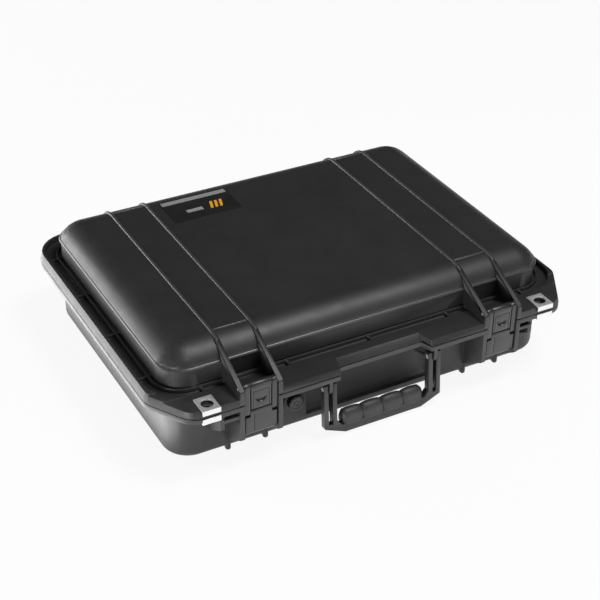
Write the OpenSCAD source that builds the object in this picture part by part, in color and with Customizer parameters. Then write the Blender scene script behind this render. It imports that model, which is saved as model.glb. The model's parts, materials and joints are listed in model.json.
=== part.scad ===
// Laptop hard case: moulded base and lid, rear hinge, two lever latches, swing handle, foam lining.
// The origin is at the middle of the footprint, +Z up, and the front with the handle faces -Y.

/* [Rim] */
// How far the rim stands out beyond the body's sides
rim_side = 22; // [19:0.5:26]
// Front edge of the flange, ahead of the body's middle
rim_front = 202.8; // [198:0.2:210]
// Rear edge of the flange, behind the body's middle
rim_rear = 184; // [182:0.5:190]
// Inset of the slanted front corners from each side
corner_in = 29.8; // [26:0.2:40]
// How far the slanted front corners run back
corner_run = 49.8; // [40:0.2:56]
// Radius of the rounded rear corners
rear_corner_r = 42; // [34:1:46]
// Height of the parting line above the feet
part_z = 79.1; // [72:0.1:90]
// Thickness of the base flange
base_flange_t = 6.1; // [5:0.1:8]
// Thickness of the lid flange at the front
lid_flange_t = 7.9; // [7:0.1:9]
// Height of the raised lip round the lid's sides and rear
lip_h = 11.4; // [10:0.1:13]
// How far the lip leans in from bottom to top
lip_lean = 2.5; // [1:0.1:4]
// Width of the lip's top
lip_w = 3.5; // [2.5:0.1:5]

/* [Body] */
// Outside width of the base and the lid's dome
body_w = 461; // [440:1:464]
// Base front wall, ahead of the body's middle
body_front = 169; // [165:0.5:171]
// Base rear wall, behind the body's middle
body_rear = 165; // [160:0.5:167]
// Radius of the body's upright corners
body_r = 30; // [24:1:34]
// Radius of the base's bottom edge
bottom_r = 8; // [5:0.5:10]
// Height of the foot ribs under the base
foot_h = 3; // [2:0.5:4]
// Floor and side wall thickness
wall = 3; // [2.6:0.1:3.6]
// Thickness of the base's front wall
front_wall = 12; // [11:0.5:13]
// Depth of the grip hollow in the front wall
hollow_d = 8; // [5:0.5:8.5]

/* [Dome] */
// Front of the dome, ahead of the body's middle
dome_front = 160; // [156:0.5:161]
// Rear of the dome, behind the body's middle
dome_rear = 161; // [156:0.5:163]
// Height of the crease, above the parting line
crease_h = 28.5; // [26:0.5:34]
// Small radius above the crease
dome_r1 = 9; // [7:0.5:11]
// Turn of the small radius
dome_turn = 35; // [30:1:40]
// Inset of the outer strap ribs from the body's sides
rib_side_in = 62.4; // [58:0.2:68]
// Distance between the two strap ribs of a pair
rib_pitch = 43.7; // [42:0.1:46]
// Width of a strap rib
rib_w = 4; // [3:0.2:5]
// How far a strap rib stands proud
rib_h = 2; // [1:0.2:3]

/* [Latches] */
// Thickness of the upright plates beside each latch
fin_t = 5; // [4:0.2:6]
// Slope of the plates' top edge, where they leave the dome
fin_slope = 28; // [24:1:32]
// Bottom of the base plates' front edge, above the feet
fin_bottom_z = 36; // [30:1:37]
// Clear width between the plates of a latch
latch_gap = 38; // [34:0.5:39]
// Side clearance of the latch between its plates
latch_side = 0.6; // [0.4:0.1:1]
// Latch hinge pin, height above the parting line
latch_pin_h = 16.9; // [16:0.1:18]
// Latch hinge pin, behind the flange's front edge
latch_pin_back = 7; // [6.8:0.1:7.4]
// Radius of the latch hinge pin
latch_pin_r = 1.6; // [1.2:0.1:2]
// Radius of the latch knuckle
knuckle_r = 4.8; // [4:0.1:5]
// How far the latch lies behind the plates' front edges
latch_in = 1.8; // [1:0.1:2]
// Lever pin, below the parting line
lever_pin_drop = 13.1; // [12:0.1:14]
// Radius of the lever pin
lever_pin_r = 1.5; // [1:0.1:1.8]
// Thickness of the latch frame's plate
latch_t = 4.3; // [3.6:0.1:5]
// Bottom of the lever's hook, below the parting line
lever_drop = 41.6; // [40:0.1:44]
// Width of the lever's lower plate
lever_w = 35.2; // [30:0.2:36]
// Thickness of the catch that the hook grips
catch_t = 5; // [4:0.1:6]
// Clearance between hook and catch
catch_gap = 0.4; // [0.3:0.1:0.8]

/* [Handle] */
// Handle pivot, height above the feet
handle_z = 60; // [58:0.5:62]
// Handle pivot, ahead of the flange's front edge (negative is behind)
handle_ahead = -9.8; // [-12:0.2:-9]
// Overall width of the handle
handle_w = 143; // [130:1:150]
// Width of one handle arm, both bars and the slot between them
arm_w = 15; // [14:0.5:17]
// Width of the slot in each arm
arm_slot = 5; // [4.6:0.2:5.4]
// Depth of the handle frame, front to back
handle_d = 9; // [7:0.5:10]
// Radius of the handle pins
handle_pin_r = 2.5; // [2:0.1:3]
// Length of the grip
grip_l = 94; // [80:1:98]
// Largest radius of the grip
grip_r = 8; // [7:0.2:9]
// Height of the handle's crossbar
crossbar_h = 10; // [8:0.5:11]
// Clearance of the handle above the ground
handle_clear = 2.2; // [1.5:0.1:3]
// How far the grip's middle lies behind the crossbar's
grip_back = 2; // [1:0.1:2.4]
// How far the grip's middle lies above the crossbar
grip_lift = 1.8; // [1:0.1:2.4]
// How far each finger lobe swells
grip_swell = 1.4; // [0.8:0.1:2]
// Forward lean of the hanging handle
handle_lean = 5; // [0:1:8]
// Half width of the set-back in the flange above the handle
notch_w = 101; // [92:1:106]
// Depth of the set-back in the base flange
notch_d = 13.4; // [11:0.2:15]

/* [Hinge] */
// Radius of the hinge knuckles
hinge_r = 6; // [5:0.2:6.4]
// Hinge axis, behind the flange's rear edge
hinge_back = 2; // [1:0.2:3]
// Radius of the hinge pins
hinge_pin_r = 2; // [1.5:0.1:2.5]
// Width of one hinge knuckle
hinge_knuckle_w = 18; // [14:0.5:20]
// Distance of each hinge's middle from the body's side
hinge_in = 84.5; // [70:0.5:110]

/* [Fittings] */
// Inset of the padlock holes from each side
padlock_in = 50.5; // [47:0.5:52]
// Padlock holes, behind the flange's front edge
padlock_back = 10.4; // [10:0.2:11.5]
// Radius of the padlock holes
padlock_r = 6.5; // [4:0.1:7]
// Width of a padlock guard
guard_w = 20; // [18:0.5:22]
// Thickness of a padlock guard
guard_t = 1.2; // [0.8:0.1:1.6]
// Distance of the pressure valve from the middle
valve_x = 93; // [88:0.5:98]
// Height of the pressure valve above the feet
valve_z = 39.5; // [36:0.5:44]
// Radius of the valve's collar
valve_r = 12; // [10:0.5:12.5]
// Width of the label plate
label_w = 84.7; // [60:0.1:90]
// Depth of the label plate
label_d = 48; // [30:0.5:50]
// Label plate's middle, left of the case's middle
label_x = 68.4; // [60:0.2:72]
// Label plate's middle, behind the body's middle
label_y = 107; // [90:0.5:108]

/* [Lining] */
// Clearance of the foam from the shells
foam_gap = 0.4; // [0.3:0.1:1]
// Thickness of the pad on the base floor
base_pad_t = 12; // [8:0.5:16]
// Width of the laptop cut-out
laptop_w = 392; // [340:1:400]
// Depth of the laptop cut-out
laptop_d = 272; // [230:1:278]
// Height of the laptop cut-out
laptop_h = 48; // [30:1:52]
// Thickness of the lid foam
lid_foam_t = 42; // [30:0.5:44]
// Clearance of pins in the pieces that turn on them
run_gap = 0.06; // [0.04:0.01:0.08]
// Clearance of pins in the pieces that hold them
hold_gap = 0.02; // [0.01:0.01:0.04]

/* [Hidden] */

shell_colour = [0.17, 0.17, 0.18];
steel_colour = [0.75, 0.76, 0.77];
foam_colour = [0.12, 0.12, 0.13];
rubber_colour = [0.10, 0.10, 0.11];
$fn = 48;
eps = 0.01;

// Places that follow from the driving sizes
hw = body_w / 2;
rib_out_x = hw - rib_side_in;
rib_in_x = rib_out_x - rib_pitch;
rim_w = body_w + 2 * rim_side;
rim_x = rim_w / 2;
base_bottom = foot_h;
flange_z = part_z - base_flange_t;
lid_flat_z = part_z + lid_flange_t;
lip_z = part_z + lip_h;
crease_z = part_z + crease_h;
// The dome's rounding reaches in as far as its upright corners do
dome_in = body_r;
dome_r2 = (dome_in - dome_r1 * (1 - cos(dome_turn))) / cos(dome_turn);
dome_z = crease_z + dome_r1 * sin(dome_turn) + dome_r2 * (1 - sin(dome_turn));
channel_floor_z = part_z + 4.6;
ridge_w = 2;
ridge_out = 6;
ridge_z = part_z + 9.6;
front_flat_back = 32;
web_t = 3;
side_web_pitch = 86;
side_web_start = -122;
front_web_pitch = 97.5;
fin_mid = (rib_in_x + rib_out_x) / 2;
fin_x0 = fin_mid - latch_gap / 2 - fin_t;
fin_x1 = fin_mid + latch_gap / 2;
pin_y = -rim_front + latch_pin_back;
pin_z = part_z + latch_pin_h;
latch_front_y = -rim_front + latch_in;
latch_back_y = latch_front_y + latch_t;
lever_barrel_r = 4;
lever_y = latch_front_y + lever_barrel_r;
lever_z = part_z - lever_pin_drop;
latch_clear = 0.5;
latch_hw = latch_gap / 2 - latch_side;
arm_l = 6;
panel_hw = 9.4;
panel_groove = 0.5;
hook_z = part_z - lever_drop;
hook_t = 5.2;
fin_root_z = 13;
gusset_root_z = 34;
gusset_front_z = 53;
gusset_in = 5.2;
scoop_z0 = 14;
scoop_z1 = 42;
catch_z = hook_z + hook_t + catch_gap;
handle_y = -rim_front - handle_ahead;
// Bottom of the handle and top of its crossbar, below the pivot
handle_low = -handle_z + handle_clear;
crossbar_top = handle_low + crossbar_h;
hinge_y = rim_rear + hinge_back;
hinge_gap = 0.3;
hinge_x = hw - hinge_in;
hinge_half = 2.5 * hinge_knuckle_w + 2 * hinge_gap;
padlock_y = -rim_front + padlock_back;
padlock_x = rim_x - padlock_in;
lever_t = 3;
lever_front_y = latch_front_y - 0.3;
catch_front_y = lever_front_y + lever_t + 0.9;
hook_back_y = catch_front_y + 4.4;
gusset_t = 5;
gusset_x = padlock_x - guard_w / 2 - 1.4 - gusset_t / 2;
// The footprint's middle lies at y = 0, between the padlock guards and the hinge
case_y = (rim_front + guard_t - (hinge_y + hinge_r)) / 2;

// An arc's points, from angle a0 to a1 about a centre
function arc_points(cx, cy, r, a0, a1, steps) =
    [for (i = [0:steps]) let (a = a0 + (a1 - a0) * i / steps) [cx + r * cos(a), cy + r * sin(a)]];

// Rounding of radius r at corner p, between neighbours a and b
function corner_arc(a, p, b, r, steps) =
    let (u = (a - p) / norm(a - p), v = (b - p) / norm(b - p), half = acos(u * v) / 2,
         cut = r / tan(half), c = p + (u + v) / norm(u + v) * r / sin(half),
         s = p + u * cut - c, e = p + v * cut - c,
         a0 = atan2(s[1], s[0]), turn0 = atan2(e[1], e[0]) - a0,
         turn = turn0 > 180 ? turn0 - 360 : turn0 < -180 ? turn0 + 360 : turn0)
    [for (i = [0:steps]) let (t = a0 + turn * i / steps) c + r * [cos(t), sin(t)]];

// The rim's outline, grown or shrunk by d
function rim_outline(d = 0) =
    let (x = rim_x + d, f = -rim_front - d, b = rim_rear + d,
         fx = rim_x - corner_in + d * 0.6, fy = -rim_front + corner_run - d * 0.3,
         p = [[x, b], [x, fy], [fx, f], [-fx, f], [-x, fy], [-x, b]],
         r = [rear_corner_r, 24, 22, 22, 24, rear_corner_r],
         n = [8, 4, 4, 4, 4, 8])
    [for (i = [0:5]) each corner_arc(p[(i + 5) % 6], p[i], p[(i + 1) % 6], r[i] + d, n[i])];

module rim(z0, z1, d = 0) translate([0, 0, z0]) linear_extrude(z1 - z0) polygon(rim_outline(d));

module plan_box(x, y0, y1, r) {
    union() {
        translate([-x + r, y0]) square([2 * (x - r), y1 - y0]);
        translate([-x, y0 + r]) square([2 * x, y1 - y0 - 2 * r]);
        for (sx = [-1, 1]) {
            translate([sx * (x - r), y0 + r]) circle(r);
            translate([sx * (x - r), y1 - r]) circle(r);
        }
    }
}

module plan_prism(x, y0, y1, r, z0, z1)
    translate([0, 0, z0]) linear_extrude(z1 - z0) plan_box(x, y0, y1, r);

// A box with rounded upright corners whose walls follow a profile of [inset, height] points
module swept_box(x, y0, y1, r, profile) {
    count = len(profile);
    falling = [for (i = [count - 1:-1:0]) profile[i]];
    closes = r - profile[count - 1][0] < eps;
    union() {
        translate([0, y1 - r, 0]) rotate([90, 0, 0]) linear_extrude(y1 - y0 - 2 * r)
            polygon(concat([for (p = profile) [x - p[0], p[1]]], [for (p = falling) [-x + p[0], p[1]]]));
        translate([-x + r, 0, 0]) rotate([90, 0, 90]) linear_extrude(2 * (x - r))
            polygon(concat([for (p = profile) [y1 - p[0], p[1]]], [for (p = falling) [y0 + p[0], p[1]]]));
        for (c = [[x - r, y1 - r, 0], [-x + r, y1 - r, 90], [-x + r, y0 + r, 180], [x - r, y0 + r, 270]])
            translate([c[0], c[1], 0]) rotate([0, 0, c[2]]) rotate_extrude(angle = 90)
                polygon(concat([[0, profile[0][1]]],
                               [for (p = profile) [r - p[0] < eps ? 0 : r - p[0], p[1]]],
                               closes ? [] : [[0, profile[count - 1][1]]]));
    }
}

// Dome wall as [inset, height] points, t inside the outer face
function dome_profile(z_foot, t = 0) =
    let (c2 = dome_r1 * (1 - cos(dome_turn)) + dome_r2 * cos(dome_turn),
         h2 = crease_z + dome_r1 * sin(dome_turn) - dome_r2 * sin(dome_turn))
    concat([[t, z_foot]],
           [for (i = [0:3]) let (a = dome_turn * i / 3)
               [dome_r1 - (dome_r1 - t) * cos(a), crease_z + (dome_r1 - t) * sin(a)]],
           [for (i = [1:5]) let (a = dome_turn + (90 - dome_turn) * i / 5)
               [c2 - (dome_r2 - t) * cos(a), h2 + (dome_r2 - t) * sin(a)]]);

module dome_solid(z_foot, t = 0)
    swept_box(hw, -dome_front, dome_rear, body_r, dome_profile(z_foot, t));

module mirrored() {
    children();
    mirror([1, 0, 0]) children();
}

// A plate standing along Y, its outline given as [y, z] points
module side_plate(x, t, outline)
    translate([x - t / 2, 0, 0]) rotate([90, 0, 90]) linear_extrude(t) polygon(outline);

module bar_x(x, y, z, r, length) translate([x, y, z]) rotate([0, 90, 0]) cylinder(r = r, h = length, center = true);

// Strap rib over the dome, from the front skirt to the rear skirt
module strap_rib(x) {
    outer = dome_profile(channel_floor_z - 1, -rib_h);
    side_plate(x, rib_w, concat(
        [for (q = outer) [dome_rear - q[0], q[1]]],
        [for (i = [len(outer) - 1:-1:0]) [-dome_front + outer[i][0], outer[i][1]]]));
}

// Upright plate beside a latch: its top edge leaves the strap rib's curve and slopes to the rim's front
module lid_fin(x0) {
    reach = dome_r2 + rib_h;
    curve_y = -dome_front + dome_in;
    curve_z = dome_z - dome_r2;
    leave = [curve_y - reach * sin(fin_slope), curve_z + reach * cos(fin_slope)];
    front_z = leave[1] - (leave[0] + rim_front) * tan(fin_slope);
    translate([x0, 0, 0]) rotate([90, 0, 90]) linear_extrude(fin_t) polygon(concat(
        [[-dome_front + 1, part_z], [-rim_front, part_z]],
        corner_arc([-rim_front, part_z], [-rim_front, front_z], leave, 2.5, 4),
        [leave, [curve_y, curve_z + reach - 1], [curve_y, crease_z]]));
}

// Deep plate beside a latch, under the base's front flange
module base_fin(x0)
    translate([x0, 0, 0]) rotate([90, 0, 90]) linear_extrude(fin_t) polygon(concat(
        [[-body_front + 1, flange_z + 1], [-rim_front, flange_z + 1]],
        corner_arc([-rim_front, flange_z], [-rim_front, fin_bottom_z], [-body_front + 1, fin_root_z], 3, 4),
        [[-body_front + 1, fin_root_z]]));

// Room for a latch in the flanges, between its upright plates
module latch_room(z0, z1)
    mirrored() translate([fin_x0 + fin_t, -rim_front - 1, z0])
        cube([latch_gap, latch_back_y + latch_clear + rim_front + 1, z1 - z0]);

// Plain block of hinge knuckle s, counted across both hinges
module knuckle(centre_x, s, up) {
    x = centre_x + (s - 2) * (hinge_knuckle_w + hinge_gap);
    bar_x(x, hinge_y, part_z, hinge_r, hinge_knuckle_w);
    translate([x - hinge_knuckle_w / 2, rim_rear - 6, up ? part_z : part_z - hinge_r])
        cube([hinge_knuckle_w, hinge_back + 6, hinge_r]);
}

module knuckle_room(centre_x, s)
    bar_x(centre_x + (s - 2) * (hinge_knuckle_w + hinge_gap), hinge_y, part_z,
          hinge_r + 0.4, hinge_knuckle_w + 2 * hinge_gap);

// Set-back of both flanges above the handle
module handle_notch(z0, z1, depth) {
    translate([0, 0, z0]) linear_extrude(z1 - z0) polygon([
        [-notch_w / 2 - 5, -rim_front - 5], [notch_w / 2 + 5, -rim_front - 5],
        [notch_w / 2 + 5, -rim_front], [notch_w / 2, -rim_front + depth],
        [-notch_w / 2, -rim_front + depth], [-notch_w / 2 - 5, -rim_front]]);
}

module base_outer() {
    swept_box(hw, -body_front, body_rear, body_r, concat(
        [for (i = [0:4]) let (a = 90 * i / 4)
            [bottom_r - bottom_r * sin(a), base_bottom + bottom_r - bottom_r * cos(a)]],
        [[0, flange_z + 1]]));
    difference() {
        rim(flange_z, part_z);
        handle_notch(flange_z - 1, part_z + 1, notch_d);
        latch_room(flange_z - 1, part_z + 1);
    }
}

// Foot ribs with round front ends
module foot_ribs()
    mirrored() for (x = [rib_in_x, rib_out_x]) {
        translate([x - rib_w / 2, -body_front + rib_w / 2, 0]) cube([rib_w, body_front + body_rear - rib_w - 6, bottom_r]);
        translate([x, -body_front + rib_w / 2, 0]) cylinder(r = rib_w / 2, h = bottom_r);
    }

// Scooped hollow in the front wall behind the grip
module grip_hollow() {
    side = handle_w / 2 + 5;
    run = 16;
    intersection() {
        translate([0, 0, base_bottom]) linear_extrude(flange_z - base_bottom) polygon(concat(
            [[-side, -body_front - 1]],
            [for (i = [0:5]) let (a = 18 * i) [-side + run * (1 - cos(a)), -body_front + hollow_d * sin(a)]],
            [for (i = [5:-1:0]) let (a = 18 * i) [side - run * (1 - cos(a)), -body_front + hollow_d * sin(a)]],
            [[side, -body_front - 1]]));
        translate([-side, 0, 0]) rotate([90, 0, 90]) linear_extrude(2 * side) polygon(concat(
            [[-body_front - 2, scoop_z0]],
            [for (i = [0:6]) let (a = 15 * i)
                [-body_front + hollow_d * sin(a), scoop_z1 - (scoop_z1 - scoop_z0) * cos(a)]],
            [[-body_front + hollow_d, flange_z + 1], [-body_front - 2, flange_z + 1]]));
    }
}

// Lugs that carry the handle pins
module handle_lugs()
    mirrored() side_plate(handle_w / 2 - arm_w / 2, arm_slot - 0.8, concat(
        [[-body_front + hollow_d + 1, flange_z + 1], [handle_y - 6, flange_z + 1]],
        arc_points(handle_y, handle_z, 6, 180, 270, 5),
        [[-body_front + hollow_d + 1, handle_z - 14]]));

module base_front_parts() {
    mirrored() {
        base_fin(fin_x0);
        base_fin(fin_x1);
        // Catch that the hook grips
        translate([fin_x0 + 1, catch_front_y, catch_z])
            cube([latch_gap + 2 * fin_t - 2, -body_front + 1 - catch_front_y, catch_t]);
        // Gusset beside the padlock hole, tied to the nearest plate by a bar
        side_plate(gusset_x, gusset_t, [
            [-body_front + 1, flange_z + 1], [-rim_front + gusset_in, flange_z + 1],
            [-rim_front + gusset_in, gusset_front_z], [-body_front + 1, gusset_root_z]]);
        translate([fin_x1 + fin_t - 1, -rim_front + gusset_in - 2.4, flange_z - 11])
            cube([gusset_x - fin_x1 - fin_t + 1, 8, 4]);
    }
    handle_lugs();
}

module gasket_groove(grow, z0, z1)
    difference() {
        plan_prism(hw + 3.2 + grow, -dome_front - 3.2 - grow, dome_rear + 3.2 + grow, body_r + 3, z0, z1);
        plan_prism(hw - 0.8 - grow, -dome_front + 0.8 + grow, dome_rear - 0.8 - grow, body_r - 1, z0 - 1, z1 + 1);
    }

module padlock_holes(z0, z1)
    mirrored() translate([padlock_x, padlock_y, z0]) cylinder(r = padlock_r, h = z1 - z0);

module base_cavity()
    plan_prism(hw - wall, -body_front + front_wall, body_rear - wall - 5, body_r - wall,
               base_bottom + wall, part_z + 1);

module valve_hole() {
    translate([-valve_x, -body_front - 1, valve_z]) rotate([-90, 0, 0]) cylinder(r = 7.2, h = front_wall + 2);
    translate([-valve_x, -body_front + front_wall / 2, valve_z]) rotate([-90, 0, 0])
        cylinder(r = 13, h = front_wall);
}

module base_shell() color(shell_colour) difference() {
    union() {
        base_outer();
        foot_ribs();
        base_front_parts();
        for (sx = [-1, 1], s = [0, 2, 4]) knuckle(sx * hinge_x, s, false);
    }
    base_cavity();
    grip_hollow_cut();
    padlock_holes(flange_z - 1, part_z + 1);
    valve_hole();
    for (sx = [-1, 1]) {
        for (s = [1, 3]) knuckle_room(sx * hinge_x, s);
        bar_x(sx * hinge_x, hinge_y, part_z, hinge_pin_r + hold_gap, 2 * hinge_half + 2);
    }
    mirrored() bar_x(handle_w / 2 - arm_w / 2, handle_y, handle_z, handle_pin_r + hold_gap, arm_slot + 2);
}

module grip_hollow_cut() difference() {
    grip_hollow();
    handle_lugs();
}

module lid_flange() difference() {
    hull() {
        rim(part_z, part_z + eps);
        rim(lip_z - eps, lip_z, -lip_lean);
    }
    // The front stays flat and low
    translate([-rim_w, -rim_front - 1, lid_flat_z]) cube([2 * rim_w, front_flat_back + 1, lip_h]);
    // Channel between the lip and the ridge
    difference() {
        plan_prism(rim_x - lip_w - lip_lean, -rim_front + front_flat_back, rim_rear - lip_w - lip_lean,
                   rear_corner_r - lip_w - lip_lean, channel_floor_z, lip_z + 1);
        plan_prism(hw + ridge_out, -dome_front - 3.4, dome_rear + ridge_out, body_r + ridge_out - 2, channel_floor_z - 1, lip_z + 2);
    }
    translate([-rim_w, -rim_front - 1, ridge_z]) cube([2 * rim_w, rim_front - dome_front + 6, lip_h]);
    plan_prism(hw + ridge_out - ridge_w, -dome_front - 1.4, dome_rear + ridge_out - ridge_w, body_r + ridge_out - 4,
               part_z + 6, lip_z + 1);
    plan_prism(hw + ridge_out + eps, -dome_front - 3.4, dome_rear + ridge_out + eps, body_r + ridge_out - 2,
               ridge_z, lip_z + 1);
    lid_set_back();
    latch_room(part_z - 1, lip_z);
}

// Slope of the lid's front edge above the handle
module lid_set_back() {
    difference() {
        handle_notch(part_z - 1, lip_z, notch_d + 6.4);
        translate([-rim_w, 0, 0]) rotate([90, 0, 90]) linear_extrude(2 * rim_w) polygon([
            [-rim_front + notch_d, part_z - 2], [-rim_front + notch_d, part_z], [-rim_front + notch_d + 6.4, lid_flat_z],
            [-rim_front + notch_d + 6.4, lip_z + 1], [0, lip_z + 1], [0, part_z - 2]]);
    }
}

// Webs that cross the channel
module channel_webs() intersection() {
    union() {
        for (i = [0:3])
            translate([-rim_w, side_web_start + i * side_web_pitch - web_t / 2, channel_floor_z - 1])
                cube([2 * rim_w, web_t, lid_flat_z + 1 - channel_floor_z]);
        for (i = [-2:2])
            translate([i * front_web_pitch - web_t / 2, -rim_w, channel_floor_z - 1])
                cube([web_t, 2 * rim_w, lid_flat_z + 1 - channel_floor_z]);
    }
    difference() {
        plan_prism(rim_x - lip_w - lip_lean + 1, -rim_front + front_flat_back - 1, rim_rear - lip_w - lip_lean + 1,
                   rear_corner_r - lip_w - lip_lean + 1, channel_floor_z - 1, lip_z + 1);
        plan_prism(hw, -dome_front, dome_rear, body_r, channel_floor_z - 2, lip_z + 2);
    }
}

module lid_cavity() {
    dome_solid(part_z - 1, wall);
}

module lid_shell() color(shell_colour) difference() {
    union() {
        lid_flange();
        channel_webs();
        dome_solid(channel_floor_z - 1);
        mirrored() {
            strap_rib(rib_in_x);
            strap_rib(rib_out_x);
            lid_fin(fin_x0);
            lid_fin(fin_x1);
        }
        for (sx = [-1, 1], s = [1, 3]) knuckle(sx * hinge_x, s, true);
    }
    lid_cavity();
    gasket_groove(0.2, part_z - 1, part_z + 3);
    padlock_holes(part_z - 1, lip_z);
    for (sx = [-1, 1]) {
        for (s = [0, 2, 4]) knuckle_room(sx * hinge_x, s);
        bar_x(sx * hinge_x, hinge_y, part_z, hinge_pin_r + run_gap, 2 * hinge_half + 2);
        bar_x(sx * fin_mid, pin_y, pin_z, latch_pin_r + hold_gap, latch_gap + 2 * fin_t + 2);
    }
    translate([-label_x - label_w / 2 - 0.2, label_y - label_d / 2 - 0.2, dome_z - 0.6]) cube([label_w + 0.4, label_d + 0.4, 5]);
}

module lid_gasket() color(rubber_colour) gasket_groove(0, part_z + 0.1, part_z + 2.9);

module hinge_pin(side) color(steel_colour)
    bar_x(side * hinge_x, hinge_y, part_z, hinge_pin_r, 2 * hinge_half);

// Latch frame: knuckle, two arms, thumb panel and the web behind it
module latch_frame(side) color(shell_colour) translate([side * fin_mid, 0, 0]) difference() {
    arm_in = latch_hw - arm_l;
    block_hw = arm_in - 1.2;
    panel_low = lever_z + lever_barrel_r + latch_clear;
    panel_high = pin_z - knuckle_r + 0.6;
    under = lid_flat_z + 2.2;
    union() {
        bar_x(0, pin_y, pin_z, knuckle_r, 2 * block_hw);
        bar_x(0, pin_y, pin_z, knuckle_r - 0.5, 2 * latch_hw);
        for (s = [-1, 1]) side_plate(s * (latch_hw - arm_l / 2), arm_l, concat(
            arc_points(pin_y, pin_z, knuckle_r - 0.5, 60, 90, 1),
            arc_points(latch_front_y + 5, pin_z + knuckle_r - 5.5, 5, 90, 180, 5),
            arc_points(lever_y, lever_z, lever_barrel_r, 180, 360, 10),
            [[lever_y + lever_barrel_r, lever_z + 2], [latch_back_y, flange_z - 1], [latch_back_y, under],
             [pin_y, under + 0.5]]));
        translate([-arm_in - 1, latch_front_y + 2.6, panel_low]) cube([2 * arm_in + 2, latch_t - 2.6, pin_z - panel_low]);
        side_plate(0, 2 * block_hw, concat(
            arc_points(pin_y, pin_z, knuckle_r, 60, 90, 1),
            arc_points(latch_front_y + 5, pin_z + knuckle_r - 5, 5, 90, 180, 5),
            [[latch_front_y, panel_low], [latch_back_y, panel_low], [latch_back_y, under], [pin_y, under + 0.5]]));
    }
    bar_x(0, pin_y, pin_z, latch_pin_r + run_gap, 2 * latch_hw + 2);
    bar_x(0, lever_y, lever_z, lever_pin_r + hold_gap, 2 * latch_hw + 2);
    // Groove round the thumb panel
    difference() {
        translate([-panel_hw, latch_front_y - 1, panel_low - 1])
            cube([2 * panel_hw, 1 + panel_groove, panel_high - panel_low + 1]);
        translate([-panel_hw + panel_groove, latch_front_y - 2, panel_low - 2])
            cube([2 * (panel_hw - panel_groove), 4, panel_high - panel_low + 2 - panel_groove]);
    }
    // Thumb scoop, deepest at its lower edge
    translate([0, latch_front_y, part_z + 5]) rotate([110, 0, 0]) cylinder(r = 6.8, h = 8);
}

// Latch lever: barrel between the arms, pull plate and hook
module latch_lever(side) color(shell_colour) translate([side * fin_mid, 0, 0]) difference() {
    neck = latch_hw - arm_l - 0.3;
    front = lever_front_y;
    plate_top = lever_z - lever_barrel_r - 0.8;
    bend = 6;
    union() {
        bar_x(0, lever_y, lever_z, lever_barrel_r, 2 * neck);
        side_plate(0, 2 * neck, [
            [lever_y - lever_barrel_r, lever_z], [lever_y, lever_z], [lever_y, plate_top - 3], [front, plate_top - 3],
            [front, plate_top]]);
        side_plate(0, lever_w, concat(
            [[front, plate_top], [front + lever_t, plate_top], [front + lever_t, hook_z + hook_t],
             [hook_back_y, hook_z + hook_t], [hook_back_y, hook_z + 2], [hook_back_y - 2, hook_z]],
            arc_points(front + bend, hook_z + bend, bend, 270, 180, 5)));
    }
    bar_x(0, lever_y, lever_z, lever_pin_r + run_gap, 2 * neck + 2);
    // Moulded split beside the pull plate's middle
    translate([-8.2, front - 1, hook_z + bend]) cube([0.6, 1.8, plate_top + 3 - hook_z - bend]);
}

module latch_pin(side) color(steel_colour)
    bar_x(side * fin_mid, pin_y, pin_z, latch_pin_r, latch_gap + 2 * fin_t - 1);

module lever_pin(side) color(steel_colour)
    bar_x(side * fin_mid, lever_y, lever_z, lever_pin_r, 2 * latch_hw - 0.6);

// What hangs from the handle pins leans forward about them
module about_handle_pivot()
    translate([0, handle_y, handle_z]) rotate([-handle_lean, 0, 0]) children();

// Handle outline seen from the front, from the pivot down
module handle_outline() {
    x = handle_w / 2;
    top = handle_pin_r + 3.5;
    chamfer_x = grip_l / 2;
    chamfer_z = 10;
    inner = x - arm_w;
    polygon([
        [-x, top], [-x, handle_low + chamfer_z], [-chamfer_x, handle_low], [chamfer_x, handle_low],
        [x, handle_low + chamfer_z], [x, top], [inner, top], [inner, crossbar_top + 7], [inner - 6, crossbar_top],
        [-inner + 6, crossbar_top], [-inner, crossbar_top + 7], [-inner, top]]);
}

module handle_frame() color(shell_colour) about_handle_pivot() difference() {
    translate([0, handle_d / 2, 0]) rotate([90, 0, 0]) linear_extrude(handle_d) handle_outline();
    slot_x = handle_w / 2 - arm_w / 2;
    for (s = [-1, 1]) {
        translate([s * slot_x - arm_slot / 2, -handle_d, crossbar_top + 3.8])
            cube([arm_slot, 2 * handle_d, handle_z]);
        bar_x(s * slot_x, 0, 0, handle_pin_r + run_gap, arm_w + 2);
    }
}

// Grip: barrels side by side, seated on the frame's crossbar and flush with its front
module handle_grip() color(rubber_colour) about_handle_pivot() difference() {
    lobes = 4;
    pitch = grip_l / lobes;
    front = -handle_d / 2 - 0.4;
    translate([-grip_l / 2, grip_back, crossbar_top + grip_lift]) rotate([0, 90, 0]) rotate_extrude()
        polygon(concat([[0, 0], [grip_r - grip_swell, 0]],
                       [for (i = [0:lobes - 1], k = [1:6])
                           [grip_r - grip_swell + grip_swell * sin(30 * k), pitch * (i + k / 6)]],
                       [[0, grip_l]]));
    translate([-grip_l, -handle_d / 2 - 0.05, handle_low - 1]) cube([2 * grip_l, handle_d + 0.1, crossbar_h + 1.05]);
    translate([-grip_l, front - 2 * grip_r, handle_low - 1]) cube([2 * grip_l, 2 * grip_r, 4 * grip_r]);
}

module handle_pin(side) color(steel_colour)
    bar_x(side * (handle_w / 2 - arm_w / 2), handle_y, handle_z, handle_pin_r, arm_w - 0.6);

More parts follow.
